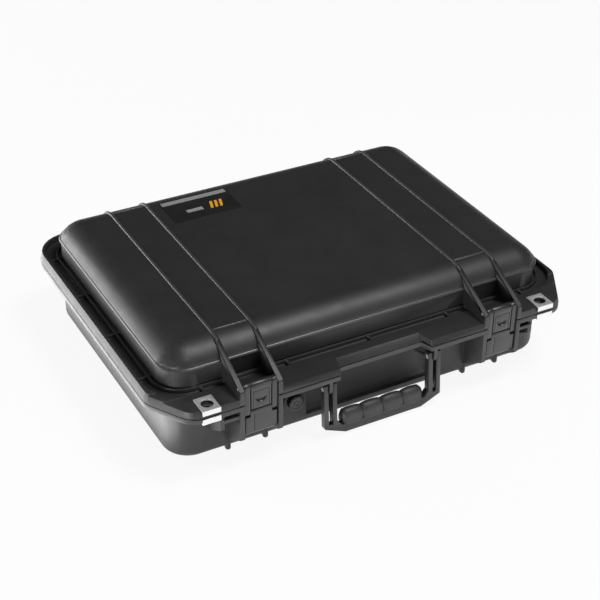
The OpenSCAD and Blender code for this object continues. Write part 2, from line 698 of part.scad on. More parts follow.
// Stainless plate folded over a flange's edge, with the padlock hole
module padlock_guard(z, up) color(steel_colour) {
    depth = 22.4;
    fold = up ? 4.5 : base_flange_t - 1;
    difference() {
        union() {
            translate([padlock_x - guard_w / 2, -rim_front - guard_t, up ? z : z - guard_t]) cube([guard_w, depth + guard_t, guard_t]);
            translate([padlock_x - guard_w / 2, -rim_front - guard_t, up ? z - fold : z - guard_t])
                cube([guard_w, guard_t - 0.05, fold + guard_t]);
        }
        translate([padlock_x, padlock_y, z - 10]) cylinder(r = padlock_r, h = 20);
    }
}

module lid_padlock_guard_right() padlock_guard(lid_flat_z, true);
module base_padlock_guard_right() padlock_guard(flange_z, false);

module at_valve() translate([-valve_x, -body_front, valve_z]) rotate([90, 0, 0]) children();

module valve_body() color(rubber_colour) at_valve() difference() {
    union() {
        translate([0, 0, 0.8]) cylinder(r = valve_r, h = 2.2);
        translate([0, 0, -front_wall]) cylinder(r = 7, h = front_wall + 1);
    }
    translate([0, 0, -front_wall - 1]) cylinder(r = 3 + run_gap, h = front_wall + 6);
}

module valve_seal() color("firebrick") at_valve() difference() {
    cylinder(r = valve_r - 1.5, h = 0.8);
    translate([0, 0, -1]) cylinder(r = 7.3, h = 3);
}

// Screw knob with finger flutes
module valve_knob() color(shell_colour) at_valve() difference() {
    union() {
        translate([0, 0, 3.3]) cylinder(r = valve_r - 3, h = 5.7);
        translate([0, 0, -front_wall + 2]) cylinder(r = 3, h = front_wall + 2);
    }
    for (i = [0:11]) rotate([0, 0, i * 30]) translate([valve_r - 2.2, 0, 4.5]) cylinder(r = 1.4, h = 6);
}

module valve_nut() color(rubber_colour) at_valve() translate([0, 0, -front_wall + 0.5]) difference() {
    cylinder(r = 11, h = front_wall / 2 - 0.6, $fn = 6);
    translate([0, 0, -1]) cylinder(r = 7 + hold_gap, h = front_wall);
}

module label_plate() color(foam_colour)
    translate([-label_x - label_w / 2, label_y - label_d / 2, dome_z - 0.6]) cube([label_w, label_d, 1.1]);

module base_foam_block(z0, z1)
    plan_prism(hw - wall - foam_gap, -body_front + front_wall + foam_gap, body_rear - wall - 5 - foam_gap,
               body_r - wall - foam_gap, z0, z1);

module foam_base_pad() color(foam_colour)
    base_foam_block(base_bottom + wall + foam_gap, base_bottom + wall + foam_gap + base_pad_t);

module foam_base_tray() color(foam_colour) {
    z0 = base_bottom + wall + foam_gap + base_pad_t + foam_gap;
    difference() {
        base_foam_block(z0, part_z - foam_gap);
        plan_prism(laptop_w / 2, -laptop_d / 2, laptop_d / 2, 12, part_z - laptop_h, part_z + 1);
        for (sx = [-1, 1]) translate([sx * laptop_w / 2, 0, part_z - laptop_h]) cylinder(r = 14, h = laptop_h + 1);
    }
}

module foam_lid_pad() color(foam_colour)
    intersection() {
        dome_solid(part_z, wall + foam_gap);
        translate([-rim_w, -rim_w, dome_z - wall - foam_gap - lid_foam_t])
            cube([2 * rim_w, 2 * rim_w, lid_foam_t]);
    }

module placed() translate([0, case_y, 0]) children();

placed() base_shell();
placed() lid_shell();
placed() lid_gasket();
placed() hinge_pin(-1);  // hinge_pin_left
placed() hinge_pin(1);  // hinge_pin_right
placed() latch_frame(-1);  // latch_frame_left
placed() latch_frame(1);  // latch_frame_right
placed() latch_lever(-1);  // latch_lever_left
placed() latch_lever(1);  // latch_lever_right
placed() latch_pin(-1);  // latch_pin_left
placed() latch_pin(1);  // latch_pin_right
placed() lever_pin(-1);  // lever_pin_left
placed() lever_pin(1);  // lever_pin_right
placed() handle_frame();
placed() handle_grip();
placed() handle_pin(-1);  // handle_pin_left
placed() handle_pin(1);  // handle_pin_right
placed() mirror([1, 0, 0]) lid_padlock_guard_right();  // lid_padlock_guard_left
placed() lid_padlock_guard_right();
placed() mirror([1, 0, 0]) base_padlock_guard_right();  // base_padlock_guard_left
placed() base_padlock_guard_right();
placed() valve_body();
placed() valve_knob();
placed() valve_seal();
placed() valve_nut();
placed() label_plate();
placed() foam_base_pad();
placed() foam_base_tray();
placed() foam_lid_pad();
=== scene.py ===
import bpy
import json
import math
from mathutils import Matrix, Vector
from mathutils.bvhtree import BVHTree


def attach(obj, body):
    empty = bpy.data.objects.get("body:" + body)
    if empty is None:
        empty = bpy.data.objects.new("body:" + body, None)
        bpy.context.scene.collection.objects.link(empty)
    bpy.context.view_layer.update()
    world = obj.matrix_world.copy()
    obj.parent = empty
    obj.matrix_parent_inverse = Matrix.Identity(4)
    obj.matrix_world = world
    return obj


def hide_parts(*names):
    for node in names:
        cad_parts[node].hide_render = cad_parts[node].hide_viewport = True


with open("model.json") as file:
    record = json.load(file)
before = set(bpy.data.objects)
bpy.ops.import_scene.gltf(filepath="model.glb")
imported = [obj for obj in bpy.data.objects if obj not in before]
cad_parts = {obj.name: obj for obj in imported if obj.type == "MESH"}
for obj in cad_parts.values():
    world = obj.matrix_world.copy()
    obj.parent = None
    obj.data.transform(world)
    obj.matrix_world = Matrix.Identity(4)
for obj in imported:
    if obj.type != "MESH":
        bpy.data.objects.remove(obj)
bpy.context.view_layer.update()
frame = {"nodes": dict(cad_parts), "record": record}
nodes = frame["nodes"]
record = frame["record"]
mm = 0.001

bodyOf = {node: body for body, held in record["behaviour"]["bodies"].items() for node in held}
slotOf = {row["node"]: row["material_slot"] for row in record["subparts"]}

bpy.context.scene.view_settings.view_transform = "Standard"

# how the case is looked at; angles in degrees, lengths in metres
cameraSetup = {
    "azimuth": -28.80,
    "elevation": 33.11,
    "roll": 0.74,
    "distance": 1.6407,
    "right": 0.0058,
    "up": -0.0186,
    "target": (0.0, 0.0060, 0.060),
    "lens": 85.37,          # in mm, on a frame as wide as the next line says
    "frameWidth": 36,
    "nearest": 0.05,
    "farthest": 50,
}


def placeCamera():
    az = math.radians(cameraSetup["azimuth"])
    el = math.radians(cameraSetup["elevation"])
    roll = math.radians(cameraSetup["roll"])
    back = Vector((math.sin(az) * math.cos(el), -math.cos(az) * math.cos(el), math.sin(el)))
    level = Vector((0, 0, 1)).cross(back).normalized()
    upright = back.cross(level)
    right = level * math.cos(roll) + upright * math.sin(roll)
    up = upright * math.cos(roll) - level * math.sin(roll)
    place = Vector(cameraSetup["target"]) + back * cameraSetup["distance"]
    place += right * cameraSetup["right"] + up * cameraSetup["up"]
    bpy.ops.object.camera_add(location=place)
    camera = bpy.context.object
    camera.name = "photoCamera"
    turn = Matrix((right, up, back)).transposed()
    camera.matrix_world = Matrix.Translation(place) @ turn.to_4x4()
    camera.data.lens = cameraSetup["lens"]
    camera.data.sensor_width = cameraSetup["frameWidth"]
    camera.data.clip_start = cameraSetup["nearest"]
    camera.data.clip_end = cameraSetup["farthest"]
    bpy.context.scene.camera = camera


placeCamera()
print("camera placed")

# floor, backdrop and lamps
studio = {
    "floorSize": 12.0,
    "floorColour": (0.92, 0.92, 0.92, 1),
    "skyLight": 0.24,       # what the sky adds to matte surfaces
    "skyGloss": 0.05,       # what glossy surfaces see of it
    "floorShine": 0.9,      # how white the camera and glossy surfaces see the floor
    "floorDrop": 0.2,       # mm under the feet
}
lamps = {
    "floorGlow": {"place": (-0.57, 0.24, 0.002), "size": (0.65, 0.85), "power": 7.4,
                  "aim": (-0.57, 0.24, 1.0)},
    "frontGlow": {"place": (0.1, -0.4, 0.002), "size": (1.0, 0.36), "power": 0.8,
                  "aim": (0.1, -0.4, 1.0)},
    "backLeft": {"place": (-0.95, 1.15, 0.15), "size": (1.0, 0.28), "power": 7},
    "backHigh": {"place": (-1.7, 2.0, 0.7), "size": (1.6, 0.7), "power": 18},
    "frontHigh": {"place": (0.55, -0.55, 2.1), "size": (0.7, 0.7), "power": 27},
    "frontLow": {"place": (1.0, -2.2, 0.5), "size": (1.6, 0.8), "power": 9},
    "sideLeft": {"place": (-1.25, -0.75, 0.15), "size": (0.6, 0.28), "power": 9},
}


def paleFloorMaterial():
    mat = bpy.data.materials.new("paleFloor")
    mat.use_nodes = True
    nt = mat.node_tree
    nt.nodes.clear()
    out = nt.nodes.new("ShaderNodeOutputMaterial")
    mix = nt.nodes.new("ShaderNodeMixShader")
    diffuse = nt.nodes.new("ShaderNodeBsdfDiffuse")
    glow = nt.nodes.new("ShaderNodeEmission")
    path = nt.nodes.new("ShaderNodeLightPath")
    either = nt.nodes.new("ShaderNodeMath")
    either.operation = "MAXIMUM"
    share = nt.nodes.new("ShaderNodeMath")
    share.operation = "MULTIPLY"
    share.inputs[1].default_value = studio["floorShine"]
    diffuse.inputs["Color"].default_value = studio["floorColour"]
    glow.inputs["Color"].default_value = (1, 1, 1, 1)
    glow.inputs["Strength"].default_value = 1.0
    nt.links.new(path.outputs["Is Camera Ray"], either.inputs[0])
    nt.links.new(path.outputs["Is Glossy Ray"], either.inputs[1])
    nt.links.new(either.outputs[0], share.inputs[0])
    nt.links.new(share.outputs[0], mix.inputs[0])
    nt.links.new(diffuse.outputs[0], mix.inputs[1])
    nt.links.new(glow.outputs[0], mix.inputs[2])
    nt.links.new(mix.outputs[0], out.inputs["Surface"])
    return mat


def studioWorld():
    world = bpy.data.worlds.new("studioWorld")
    world.use_nodes = True
    nt = world.node_tree
    nt.nodes.clear()
    out = nt.nodes.new("ShaderNodeOutputWorld")
    path = nt.nodes.new("ShaderNodeLightPath")
    shades = {}
    strengths = {"matte": studio["skyLight"], "gloss": studio["skyGloss"], "seen": 1.0}
    for name, strength in strengths.items():
        shades[name] = nt.nodes.new("ShaderNodeBackground")
        shades[name].inputs["Color"].default_value = (1, 1, 1, 1)
        shades[name].inputs["Strength"].default_value = strength
    glossMix = nt.nodes.new("ShaderNodeMixShader")
    seenMix = nt.nodes.new("ShaderNodeMixShader")
    nt.links.new(path.outputs["Is Glossy Ray"], glossMix.inputs[0])
    nt.links.new(shades["matte"].outputs[0], glossMix.inputs[1])
    nt.links.new(shades["gloss"].outputs[0], glossMix.inputs[2])
    nt.links.new(path.outputs["Is Camera Ray"], seenMix.inputs[0])
    nt.links.new(glossMix.outputs[0], seenMix.inputs[1])
    nt.links.new(shades["seen"].outputs[0], seenMix.inputs[2])
    nt.links.new(seenMix.outputs[0], out.inputs["Surface"])
    bpy.context.scene.world = world


def addLamp(name, place, size, power, aim=(0, 0, 0.06)):
    bpy.ops.object.light_add(type="AREA", location=place)
    lamp = bpy.context.object
    lamp.name = name
    lamp.data.shape = "RECTANGLE"
    lamp.data.size = size[0]
    lamp.data.size_y = size[1]
    lamp.data.energy = power
    lamp.visible_camera = False
    toward = Vector(aim) - Vector(place)
    lamp.rotation_euler = toward.to_track_quat("-Z", "Y").to_euler()


def setStage():
    bpy.ops.mesh.primitive_plane_add(size=studio["floorSize"],
                                     location=(0, 0, -studio["floorDrop"] * mm))
    floor = bpy.context.object
    floor.name = "floor"
    floor.data.materials.append(paleFloorMaterial())
    studioWorld()
    for name, row in lamps.items():
        addLamp(name, **row)


setStage()
print("stage and lamps set")

# materials: a colour with a slight variation of tone, and for some a fine grain, its depth in mm
finishRows = {
    "mouldedShell": {
        "colour": (0.022, 0.022, 0.024), "roughness": 0.46,
        "tone": {"scale": 18, "low": (0.020, 0.020, 0.0215), "high": (0.025, 0.025, 0.0265)},
        "sheen": {"scale": 60, "low": (0.43, 0.43, 0.43), "high": (0.50, 0.50, 0.50)},
        "grain": {"scale": 1400, "strength": 0.12, "depth": 0.1},
    },
    # a lighter colour than the shell, which is painted highlight along the crease bead, strap
    # beads and tie ridges; its lower roughness is real gloss
    "paintedHighlightEdge": {
        "colour": (0.045, 0.045, 0.047), "roughness": 0.34,
        "tone": {"scale": 18, "low": (0.042, 0.042, 0.044), "high": (0.050, 0.050, 0.052)},
    },
    "latchNylon": {
        "colour": (0.020, 0.020, 0.022), "roughness": 0.34,
        "tone": {"scale": 30, "low": (0.018, 0.018, 0.0195), "high": (0.023, 0.023, 0.0245)},
        "grain": {"scale": 2200, "strength": 0.15, "depth": 0.1},
    },
    "brushedSteel": {
        "colour": (0.66, 0.66, 0.65), "roughness": 0.42, "metallic": 0.6,
        "tone": {"scale": 90, "low": (0.60, 0.60, 0.59), "high": (0.70, 0.70, 0.69)},
    },
    "gripRubber": {
        "colour": (0.028, 0.028, 0.03), "roughness": 0.5,
        "tone": {"scale": 40, "low": (0.024, 0.024, 0.026), "high": (0.032, 0.032, 0.034)},
        "grain": {"scale": 1800, "strength": 0.3, "depth": 0.2},
    },
    "darkFoam": {
        "colour": (0.04, 0.04, 0.044), "roughness": 0.95,
        "tone": {"scale": 300, "low": (0.02, 0.02, 0.022), "high": (0.06, 0.06, 0.066)},
        "grain": {"scale": 900, "strength": 0.8, "depth": 0.8},
    },
    "labelBlack": {
        "colour": (0.015, 0.015, 0.015), "roughness": 0.3,
        "tone": {"scale": 50, "low": (0.012, 0.012, 0.012), "high": (0.018, 0.018, 0.018)},
    },
    "silverInk": {
        "colour": (0.68, 0.68, 0.69), "roughness": 0.35, "metallic": 0.6,
        "tone": {"scale": 400, "low": (0.55, 0.55, 0.56), "high": (0.68, 0.68, 0.69)},
    },
    "amberInk": {
        "colour": (0.85, 0.42, 0.03), "roughness": 0.35,
        "tone": {"scale": 400, "low": (0.75, 0.33, 0.02), "high": (0.85, 0.42, 0.03)},
    },
}
noiseDetail = {"tone": 4, "grain": 3}
toneStops = (0.3, 0.7)      # where in the noise the low tone ends and the high one begins


def addNoise(nt, scale, detail):
    where = nt.nodes.new("ShaderNodeTexCoord")
    noise = nt.nodes.new("ShaderNodeTexNoise")
    noise.inputs["Scale"].default_value = scale
    noise.inputs["Detail"].default_value = detail
    nt.links.new(where.outputs["Object"], noise.inputs["Vector"])
    return noise


def grainBump(nt, shader, scale, strength, depth):
    noise = addNoise(nt, scale, noiseDetail["grain"])
    bump = nt.nodes.new("ShaderNodeBump")
    bump.inputs["Strength"].default_value = strength
    bump.inputs["Distance"].default_value = depth * mm
    nt.links.new(noise.outputs["Fac"], bump.inputs["Height"])
    nt.links.new(bump.outputs["Normal"], shader.inputs["Normal"])


def toneVariation(nt, socket, scale, low, high):
    noise = addNoise(nt, scale, noiseDetail["tone"])
    ramp = nt.nodes.new("ShaderNodeValToRGB")
    ramp.color_ramp.elements[0].position = toneStops[0]
    ramp.color_ramp.elements[0].color = (*low, 1)
    ramp.color_ramp.elements[1].position = toneStops[1]
    ramp.color_ramp.elements[1].color = (*high, 1)
    nt.links.new(noise.outputs["Fac"], ramp.inputs["Fac"])
    nt.links.new(ramp.outputs["Color"], socket)


def makeFinish(name):
    row = finishRows[name]
    mat = bpy.data.materials.new(name)
    mat.use_nodes = True
    nt = mat.node_tree
    shader = nt.nodes["Principled BSDF"]
    shader.inputs["Base Color"].default_value = (*row["colour"], 1)
    shader.inputs["Roughness"].default_value = row["roughness"]
    shader.inputs["Metallic"].default_value = row.get("metallic", 0.0)
    toneVariation(nt, shader.inputs["Base Color"], **row["tone"])
    if "sheen" in row:
        toneVariation(nt, shader.inputs["Roughness"], **row["sheen"])
    if "grain" in row:
        grainBump(nt, shader, **row["grain"])
    return mat


finishes = {
    "shell": makeFinish("mouldedShell"),
    # the edge finish carries a painted highlight: its colour is lighter than the shell's
    "edge": makeFinish("paintedHighlightEdge"),
    "latch": makeFinish("latchNylon"),
    "steel": makeFinish("brushedSteel"),
    "rubber": makeFinish("gripRubber"),
    "foam": makeFinish("darkFoam"),
    "label": makeFinish("labelBlack"),
}
silverInk = makeFinish("silverInk")
amberInk = makeFinish("amberInk")
print("materials made")


# mesh helpers
def deselectAll():
    bpy.ops.object.select_all(action="DESELECT")


def selectOnly(piece):
    deselectAll()
    piece.select_set(True)
    bpy.context.view_layer.objects.active = piece


def smoothByAngle(piece, degrees):
    selectOnly(piece)
    bpy.ops.object.shade_smooth_by_angle(angle=math.radians(degrees))


def applyModifier(piece, kind, name, **settings):
    selectOnly(piece)
    modifier = piece.modifiers.new(name, kind)
    for key, value in settings.items():
        setattr(modifier, key, value)
    bpy.ops.object.modifier_apply(modifier=name)


def finishPiece(piece, body, material):
    piece.data.materials.clear()
    piece.data.materials.append(material)
    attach(piece, body)


sharpCorner = 40        # an edge is rounded where its faces turn more than this many degrees
fittingSmooth = 32      # under this angle between two faces their edge is shaded smooth


# rounds the sharp edges whose two ends pass a test on their places, in mm
def roundEdges(piece, width, segments, test):
    selectOnly(piece)
    bpy.ops.object.mode_set(mode="EDIT")
    bpy.ops.mesh.select_mode(type="EDGE")
    bpy.ops.mesh.select_all(action="DESELECT")
    bpy.ops.mesh.edges_select_sharp(sharpness=math.radians(sharpCorner))
    bpy.ops.object.mode_set(mode="OBJECT")
    mesh = piece.data
    for edge in mesh.edges:
        if edge.select:
            ends = [mesh.vertices[index].co / mm for index in edge.vertices]
            edge.select = all(test(end) for end in ends)
    bpy.ops.object.mode_set(mode="EDIT")
    bpy.ops.mesh.bevel(offset=width * mm, segments=segments, affect="EDGES", clamp_overlap=False)
    bpy.ops.object.mode_set(mode="OBJECT")


# how close two corners are merged, and how short an edge is dropped, in mm
mergeReach = 0.002
shortEdge = 0.004


# a merged copy of a CAD node's mesh, to be worked on
def copyOfNode(node, newName):
    piece = bpy.data.objects.new(newName, nodes[node].data.copy())
    bpy.context.collection.objects.link(piece)
    selectOnly(piece)
    bpy.ops.object.mode_set(mode="EDIT")
    bpy.ops.mesh.select_all(action="SELECT")
    bpy.ops.mesh.remove_doubles(threshold=mergeReach * mm)
    bpy.ops.mesh.dissolve_degenerate(threshold=shortEdge * mm)
    bpy.ops.object.mode_set(mode="OBJECT")
    return piece


# a bevel where slivers meet can throw a corner far out: it goes back to the nearest surface
def returnStrays(piece, surface, reach):
    for vertex in piece.data.vertices:
        place, normal, index, distance = surface.find_nearest(vertex.co)
        if distance > reach * mm:
            vertex.co = place


def surfaceOf(piece):
    return BVHTree.FromPolygons([vertex.co for vertex in piece.data.vertices],
                                [tuple(face.vertices) for face in piece.data.polygons])


# places on the case that several pieces share, in mm
case = {
    "bodyHalfWidth": 230.5,
    "domeFront": -154.0,
    "domeRear": 167.0,
    "cornerRadius": 30.0,
    "creaseRadius": 9.0,
    "creaseTurn": 35.0,
    "creaseHeight": 107.6,
    "domeHeight": 127.53,
    "roundingRadius": 34.64,
    "partingHeight": 79.1,
    "ribPlaces": (124.4, 168.1),
    "ribWidth": 4.0,
    "skirtFoot": 85.0,      # the lid is worked on above this height only
}
# the straps' square ribs: how proud of the dome they stand, and where their plates begin
strapRib = {
    "play": 0.05,
    "proud": (1.2, 2.4),
    "plateFront": -140.0,
    "tipFront": -143.0,
    "tipReach": 1.2,
}
# what counts as lying on the dome
domeTouch = {
    "near": 0.3,            # mm from its surface
    "sidePlay": 0.1,        # mm past the straight part of its long sides, for the shading
    "cornerPlay": 1.0,      # and for the edges that stay sharp
    "alike": 0.97,          # how alike a face and the dome must face; 1 is the same way
    "turnPlay": 0.2,        # degrees by which the crease's rounding gives way to the large one
}
# the rim's outer edge, on the parting plane: past these places it counts as outside
rimEdge = {
    "side": 236.0,
    "front": -166.0,
    "rear": (178.0, 190.05),
    "play": 0.02,
}


# how proud of the dome a place stands, and the way it faces there
def proudOfDome(place):
    rearSide = place.y > (case["domeRear"] + case["domeFront"]) / 2
    wall = case["domeRear"] if rearSide else case["domeFront"]
    outward = 1 if rearSide else -1
    bigCentre = Vector((0, wall - outward * case["cornerRadius"],
                        case["domeHeight"] - case["roundingRadius"]))
    smallCentre = Vector((0, wall - outward * case["creaseRadius"], case["creaseHeight"]))
    if place.z < case["creaseHeight"]:
        return outward * (place.y - wall), Vector((0, outward, 0))
    if outward * (place.y - bigCentre.y) < 0:
        return place.z - case["domeHeight"], Vector((0, 0, 1))
    turn = math.degrees(math.atan2(place.z - bigCentre.z, outward * (place.y - bigCentre.y)))
    centre, radius = (bigCentre, case["roundingRadius"])
    if turn < case["creaseTurn"] - domeTouch["turnPlay"]:
        centre, radius = (smallCentre, case["creaseRadius"])
    away = Vector((0, place.y, place.z)) - centre
    return away.length - radius, away.normalized()


def nearRib(place, reach):
    return any(abs(abs(place.x) - x) < case["ribWidth"] / 2 + reach for x in case["ribPlaces"])


# sets the straps' square ribs back into the dome, where a round bead takes their place
def sinkStrapRibs(piece, depth):
    low, high = strapRib["proud"]
    for vertex in piece.data.vertices:
        place = vertex.co / mm
        onRib = nearRib(place, strapRib["play"]) and place.y > strapRib["plateFront"]
        if onRib and place.z > case["skirtFoot"]:
            proud, facing = proudOfDome(place)
            if low < proud < high:
                vertex.co -= facing * depth * mm


# draws the rim's outer edge back from the parting plane: a fine dark joint runs round the case
def openJoint(piece, gap):
    rearLow, rearHigh = rimEdge["rear"]
    for vertex in piece.data.vertices:
        place = vertex.co / mm
        outside = (abs(place.x) > rimEdge["side"] or place.y < rimEdge["front"]
                   or rearLow < place.y < rearHigh)
        if outside and abs(place.z - case["partingHeight"]) < rimEdge["play"]:
            vertex.co.z += gap * mm


# the strap ribs, the tips of the plates that run into them, and all that lies on the dome itself
def onDomeOrRib(place):
    proud, facing = proudOfDome(place)
    straight = case["bodyHalfWidth"] - case["cornerRadius"] + domeTouch["cornerPlay"]
    onDome = abs(proud) < domeTouch["near"] and abs(place.x) < straight
    onRib = nearRib(place, strapRib["tipReach"]) and place.y > strapRib["tipFront"]
    return place.z > case["skirtFoot"] and (onDome or onRib)


# shades the dome's long roundings as true curves, whatever triangles lie on them
def trueCurves(piece):
    mesh = piece.data
    facings = [corner.vector.copy() for corner in mesh.corner_normals]
    straight = case["bodyHalfWidth"] - case["cornerRadius"] + domeTouch["sidePlay"]
    for face in mesh.polygons:
        for index in face.loop_indices:
            place = mesh.vertices[mesh.loops[index].vertex_index].co / mm
            if place.z < case["creaseHeight"] or abs(place.x) > straight:
                continue
            proud, facing = proudOfDome(place)
            if abs(proud) < domeTouch["near"] and face.normal.dot(facing) > domeTouch["alike"]:
                facings[index] = facing
    mesh.normals_split_custom_set(facings)


# a rounded copy of a CAD node, which stands for it
def dressedNode(node, newName, edge, segments=2, joint=0.0, sink=0.0, keepSharp=None):
    piece = copyOfNode(node, newName)
    if sink:
        sinkStrapRibs(piece, sink)
    if joint:
        openJoint(piece, joint)
    surface = surfaceOf(piece)
    roundEdges(piece, edge, segments, lambda place: not (keepSharp and keepSharp(place)))
    returnStrays(piece, surface, edge)
    smoothByAngle(piece, fittingSmooth)
    finishPiece(piece, bodyOf[node], finishes[slotOf[node]])
    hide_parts(node)
    return piece


# each fitting's new name, the width of its rounded edges in mm, and what else is done to it
dressing = {
    "base_shell": {"newName": "baseMoulding", "edge": 0.6, "joint": -0.5},
    "lid_shell": {"newName": "lidMoulding", "edge": 0.6, "joint": 0.5, "sink": 1.5,
                  "keepSharp": onDomeOrRib},
    "handle_frame": {"newName": "handleBow", "edge": 1.0},
    "valve_knob": {"newName": "valveKnob", "edge": 0.4},
    "valve_body": {"newName": "valveCollar", "edge": 0.5},
}
for side in ("left", "right"):
    dressing["latch_frame_" + side] = {"newName": "latchLink." + side, "edge": 0.2}
    dressing["latch_lever_" + side] = {"newName": "latchPull." + side, "edge": 0.3}
    for half in ("lid", "base"):
        guardName = half + "Guard." + side
        dressing[half + "_padlock_guard_" + side] = {"newName": guardName, "edge": 0.25}
for node, row in dressing.items():
    moulding = dressedNode(node, **row)
    if node == "lid_shell":
        trueCurves(moulding)
for node, slotName in slotOf.items():
    mesh = nodes[node].data
    mesh.materials.clear()
    mesh.materials.append(finishes[slotName])
print("mouldings and fittings dressed")


# small steps that the pieces share; lengths in mm
def openNew(name):
    piece = bpy.context.object
    piece.name = name
    bpy.ops.object.mode_set(mode="EDIT")
    bpy.ops.mesh.select_all(action="SELECT")
    return piece


def moveBy(x, y, z):
    bpy.ops.transform.translate(value=(x * mm, y * mm, z * mm))


def extrudeEdges(x, y, z):
    bpy.ops.mesh.extrude_edges_move(TRANSFORM_OT_translate={"value": (x * mm, y * mm, z * mm)})


def extrudeFaces(x, y, z):
    bpy.ops.mesh.extrude_region_move(TRANSFORM_OT_translate={"value": (x * mm, y * mm, z * mm)})


def faceOutward():
    bpy.ops.mesh.select_all(action="SELECT")
    bpy.ops.mesh.normals_make_consistent(inside=False)
    bpy.ops.object.mode_set(mode="OBJECT")


# a disc drawn out along Z through rows of half width, half height and place
def drawnOut(name, sides, stations):
    deselectAll()
    bpy.ops.mesh.primitive_circle_add(vertices=sides, radius=1, fill_type="NGON")
    piece = openNew(name)
    wide, high, place = stations[0]
    bpy.ops.transform.resize(value=(wide * mm, high * mm, 1), center_override=(0, 0, 0))
    moveBy(0, 0, place)
    for nextWide, nextHigh, nextPlace in stations[1:]:
        extrudeFaces(0, 0, nextPlace - place)
        bpy.ops.transform.resize(value=(nextWide / wide, nextHigh / high, 1),
                                 center_override=(0, 0, nextPlace * mm))
        wide, high, place = nextWide, nextHigh, nextPlace
    faceOutward()
    return piece


def sideName(side):
    return ".left" if side < 0 else ".right"


def ribName(x, side):
    return ("inner" if x == case["ribPlaces"][0] else "outer") + sideName(side)


ribSides = [(x, side) for x in case["ribPlaces"] for side in (-1, 1)]

# the dome's crease: its foot stands a little proud of the skirt under it
creaseBead = {
    # rows of outset from the body and height
    "profile": [(-1.0, 110.4), (0.1, 109.8), (0.9, 109.2), (1.3, 108.4),
                (1.2, 107.6), (0.8, 107.1), (-0.9, 106.9)],
    "cornerSteps": 10,
    "smooth": 40,
}


def makeCreaseBead(row):
    halfWidth, radius = case["bodyHalfWidth"], case["cornerRadius"]
    front, rear = case["domeFront"], case["domeRear"]
    middle = (0, (front + rear) / 2 * mm, 0)
    outset, height = row["profile"][0]
    deselectAll()
    bpy.ops.mesh.primitive_plane_add(size=1)
    bead = openNew("creaseBead")
    size = (2 * (halfWidth + outset) * mm, (rear - front + 2 * outset) * mm, 1)
    bpy.ops.transform.resize(value=size, center_override=(0, 0, 0))
    moveBy(0, (front + rear) / 2, height)
    bpy.ops.mesh.bevel(offset=(radius + outset) * mm, segments=row["cornerSteps"],
                       affect="VERTICES", clamp_overlap=False)
    bpy.ops.mesh.select_all(action="SELECT")
    bpy.ops.mesh.delete(type="ONLY_FACE")
    bpy.ops.mesh.select_mode(type="EDGE")
    bpy.ops.mesh.select_all(action="SELECT")
    for nextOutset, nextHeight in row["profile"][1:]:
        extrudeEdges(0, 0, nextHeight - height)
        grow = ((halfWidth + nextOutset) / (halfWidth + outset),
                (rear - front + 2 * nextOutset) / (rear - front + 2 * outset), 1)
        bpy.ops.transform.resize(value=grow, center_override=middle)
        outset, height = nextOutset, nextHeight
    bpy.ops.mesh.select_all(action="DESELECT")
    bpy.ops.mesh.select_non_manifold()
    bpy.ops.mesh.bridge_edge_loops()
    faceOutward()
    smoothByAngle(bead, row["smooth"])
    # the bead's lighter edge finish is a painted highlight
    finishPiece(bead, "lid", finishes["edge"])


makeCreaseBead(creaseBead)
print("crease made")

# round beads over the dome, in the straps' places
strapBead = {
    "halfWidth": 2.1,
    "height": 2.0,
    "sides": 20,
    "footHeight": 88.0,
    "smallSteps": 4,
    "bigSteps": 12,
    "smooth": 40,
}


def spinBead(steps, degrees, centreY, centreZ):
    bpy.ops.mesh.spin(steps=steps, angle=math.radians(degrees),
                      center=(0, centreY * mm, centreZ * mm), axis=(1, 0, 0))


def makeStrapBead(row, x, side):
    front, rear = case["domeFront"], case["domeRear"]
    radius, crease = case["cornerRadius"], case["creaseRadius"]
    turn, creaseZ = case["creaseTurn"], case["creaseHeight"]
    domeZ = case["domeHeight"] - case["roundingRadius"]
    rise = creaseZ - row["footHeight"]
    deselectAll()
    bpy.ops.mesh.primitive_circle_add(vertices=row["sides"], radius=1)
    bead = openNew("strapBead." + ribName(x, side))
    bpy.ops.mesh.select_mode(type="EDGE")
    bpy.ops.mesh.select_all(action="SELECT")
    bpy.ops.transform.resize(value=(row["halfWidth"] * mm, row["height"] * mm, 1),
                             center_override=(0, 0, 0))
    moveBy(side * x, front, row["footHeight"])
    extrudeEdges(0, 0, rise)
    spinBead(row["smallSteps"], turn, front + crease, creaseZ)
    spinBead(row["bigSteps"], 90 - turn, front + radius, domeZ)
    extrudeEdges(0, rear - front - 2 * radius, 0)
    spinBead(row["bigSteps"], 90 - turn, rear - radius, domeZ)
    spinBead(row["smallSteps"], turn, rear - crease, creaseZ)
    extrudeEdges(0, 0, -rise)
    bpy.ops.mesh.select_all(action="SELECT")
    bpy.ops.mesh.remove_doubles(threshold=mergeReach * mm)
    bpy.ops.mesh.fill_holes(sides=row["sides"])
    bpy.ops.mesh.normals_make_consistent(inside=False)
    bpy.ops.object.mode_set(mode="OBJECT")
    smoothByAngle(bead, row["smooth"])
    # the bead's lighter edge finish is a painted highlight
    finishPiece(bead, "lid", finishes["edge"])


for x, side in ribSides:
    makeStrapBead(strapBead, x, side)
print("strap beads made")

# low ridges that tie the two strap ribs of a pair, at the front and the rear
tieRidge = {
    "width": 3.2,
    "height": 1.2,
    "sink": 1.2,
    "ribOverlap": 1.0,
    "round": 1.344,
    "roundSteps": 3,
    "places": {"front": -125.0, "rear": 142.5},
    "smooth": 40,
}


# height of the dome over a place along Y
def domeTop(place):
    middle = (case["domeFront"] + case["domeRear"]) / 2
    halfDepth = (case["domeRear"] - case["domeFront"]) / 2
    past = max(0.0, abs(place - middle) - halfDepth + case["cornerRadius"])
    radius = case["roundingRadius"]
    return case["domeHeight"] - (radius - math.sqrt(radius ** 2 - past ** 2))


